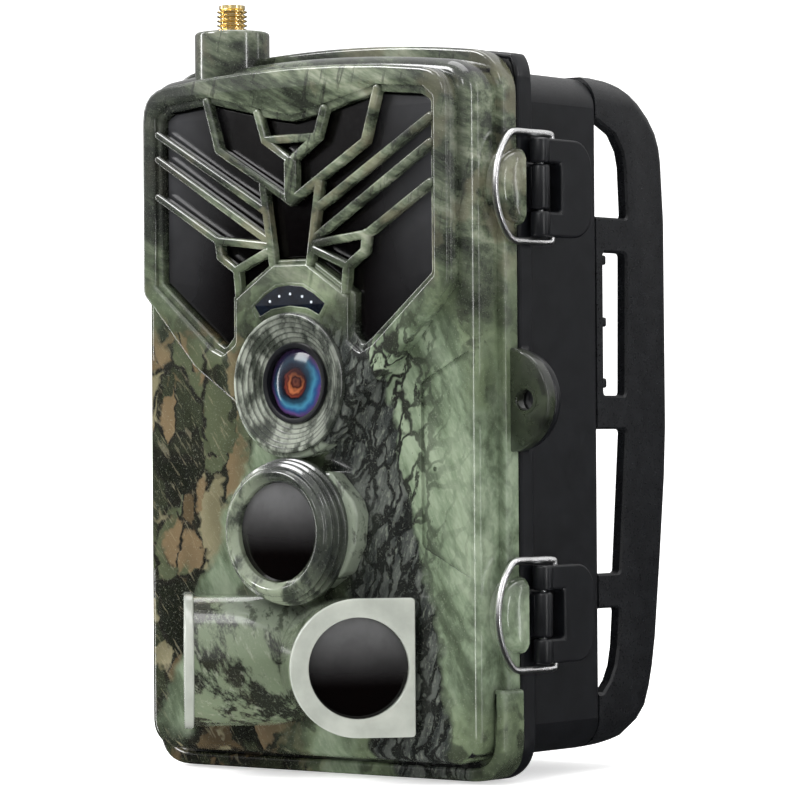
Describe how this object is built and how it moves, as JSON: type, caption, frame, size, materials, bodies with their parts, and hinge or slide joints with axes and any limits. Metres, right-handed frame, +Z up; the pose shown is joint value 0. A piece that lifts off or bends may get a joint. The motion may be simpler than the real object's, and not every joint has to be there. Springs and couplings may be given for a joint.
{
  "type": "trail camera",
  "caption": "Hinged camouflage trail camera with an infrared grille, lens, three motion sensors, wire latches, antenna socket and strap bracket.",
  "frame": {"origin": "mouth of the tripod thread in the middle of the foot", "axes": "+Z up; the lens and sensors face -Y; +X to the right seen from the front"},
  "size_m": [0.1056, 0.0931, 0.1602],
  "materials": {
    "camo_shell": "glossy dipped camouflage film over moulded plastic",
    "pale_bezel": "glossy pale film",
    "black_case": "satin black",
    "dark_window": "polished infrared-passing plastic",
    "status_lens": "polished dark blue tint",
    "black_parts": "fine matt",
    "lens_glass": "coated glass",
    "clear_plastic": "clear epoxy or acrylic",
    "circuit_board": "solder mask",
    "chip_ceramic": "ceramic package",
    "bare_steel": "plated",
    "latch_wire": "bright plated wire",
    "key_plastic": "fine matt",
    "gold_plate": "gold plated",
    "insert_brass": "machined",
    "seal_rubber": "soft",
    "cell_jacket": "printed jacket without any text"
  },
  "bodies": {
    "rear_body": {"rear_case": "black_case", "case_gasket": "seal_rubber", "battery_tray": "black_case", "batteries": "cell_jacket", "battery_contacts": "bare_steel", "tray_screws": "bare_steel", "tripod_insert": "insert_brass", "dc_jack": "black_parts", "latch_pins": "bare_steel", "tree_bracket": "black_case", "bracket_screws": "bare_steel", "hinge_pins": "bare_steel"},
    "front_cover": {"front_shell": "camo_shell", "ir_frame": "camo_shell", "ir_filter": "dark_window", "ir_led_board": "circuit_board", "ir_leds": "clear_plastic", "status_window": "status_lens", "status_leds": "clear_plastic", "lens_ring": "camo_shell", "lens_barrel": "black_parts", "lens_front": "lens_glass", "lens_iris": "black_parts", "lens_rear": "lens_glass", "image_sensor": "chip_ceramic", "pir_barrel": "camo_shell", "centre_window": "dark_window", "side_pod_right": "camo_shell", "side_pod_left": "camo_shell", "side_bezel_right": "pale_bezel", "side_bezel_left": "pale_bezel", "side_window_right": "dark_window", "side_window_left": "dark_window", "pir_detectors": "bare_steel", "pir_boards": "circuit_board", "main_board": "circuit_board", "inner_cover": "black_case", "lcd_screen": "bare_steel", "lcd_window": "clear_plastic", "button_domes": "bare_steel", "mode_switch_body": "bare_steel", "card_slot": "bare_steel", "sim_holder": "bare_steel", "speaker": "black_parts", "microphone": "bare_steel", "sma_jack": "gold_plate", "sma_nut": "gold_plate", "cover_screws": "bare_steel"},
    "key_menu": {"button_menu": "key_plastic"},
    "key_ok": {"button_ok": "key_plastic"},
    "key_up": {"button_up": "key_plastic"},
    "key_down": {"button_down": "key_plastic"},
    "key_left": {"button_left": "key_plastic"},
    "key_right": {"button_right": "key_plastic"},
    "mode_knob": {"mode_switch_knob": "key_plastic"},
    "port_cover": {"port_flap": "seal_rubber"},
    "upper_lever": {"lever_upper": "black_case"},
    "lower_lever": {"lever_lower": "black_case"},
    "upper_bail": {"bail_upper": "latch_wire"},
    "lower_bail": {"bail_lower": "latch_wire"}
  },
  "joints": [
    {"name": "cover_hinge", "type": "hinge", "parent": "rear_body", "child": "front_cover", "pos_m": [-0.0484, -0.017, 0.0756], "axis": [0, 0, -1], "range_deg": [0, 100]},
    {"name": "upper_lever_pivot", "type": "hinge", "parent": "rear_body", "child": "upper_lever", "pos_m": [0.0474, -0.013, 0.1149], "axis": [0, 0, -1], "range_deg": [0, 165]},
    {"name": "upper_bail_pivot", "type": "hinge", "parent": "upper_lever", "child": "upper_bail", "pos_m": [0.047, -0.0085, 0.1149], "axis": [0, 0, 1], "range_deg": [0, 350]},
    {"name": "lower_lever_pivot", "type": "hinge", "parent": "rear_body", "child": "lower_lever", "pos_m": [0.0474, -0.013, 0.029], "axis": [0, 0, -1], "range_deg": [0, 165]},
    {"name": "lower_bail_pivot", "type": "hinge", "parent": "lower_lever", "child": "lower_bail", "pos_m": [0.047, -0.0085, 0.029], "axis": [0, 0, 1], "range_deg": [0, 350]},
    {"name": "key_menu_press", "type": "slide", "parent": "front_cover", "child": "key_menu", "axis": [0, -1, 0], "range_m": [0, 0.0005], "stiffness_N_per_m": 600, "springref_m": -0.0005},
    {"name": "key_ok_press", "type": "slide", "parent": "front_cover", "child": "key_ok", "axis": [0, -1, 0], "range_m": [0, 0.0005], "stiffness_N_per_m": 600, "springref_m": -0.0005},
    {"name": "key_up_press", "type": "slide", "parent": "front_cover", "child": "key_up", "axis": [0, -1, 0], "range_m": [0, 0.0005], "stiffness_N_per_m": 600, "springref_m": -0.0005},
    {"name": "key_down_press", "type": "slide", "parent": "front_cover", "child": "key_down", "axis": [0, -1, 0], "range_m": [0, 0.0005], "stiffness_N_per_m": 600, "springref_m": -0.0005},
    {"name": "key_left_press", "type": "slide", "parent": "front_cover", "child": "key_left", "axis": [0, -1, 0], "range_m": [0, 0.0005], "stiffness_N_per_m": 600, "springref_m": -0.0005},
    {"name": "key_right_press", "type": "slide", "parent": "front_cover", "child": "key_right", "axis": [0, -1, 0], "range_m": [0, 0.0005], "stiffness_N_per_m": 600, "springref_m": -0.0005},
    {"name": "mode_switch_slide", "type": "slide", "parent": "front_cover", "child": "mode_knob", "axis": [0, 0, 1], "range_m": [0, 0.006]},
    {"name": "port_cover_hinge", "type": "hinge", "parent": "rear_body", "child": "port_cover", "pos_m": [-0.022, 0.0026, -0.0012], "axis": [1, 0, 0], "range_deg": [0, 100]}
  ],
  "couplings": [
    {"joint": "upper_lever_pivot", "follows": "cover_hinge", "ratio": 1.6},
    {"joint": "upper_bail_pivot", "follows": "cover_hinge", "ratio": 3.45},
    {"joint": "lower_lever_pivot", "follows": "cover_hinge", "ratio": 1.6},
    {"joint": "lower_bail_pivot", "follows": "cover_hinge", "ratio": 3.45}
  ]
}
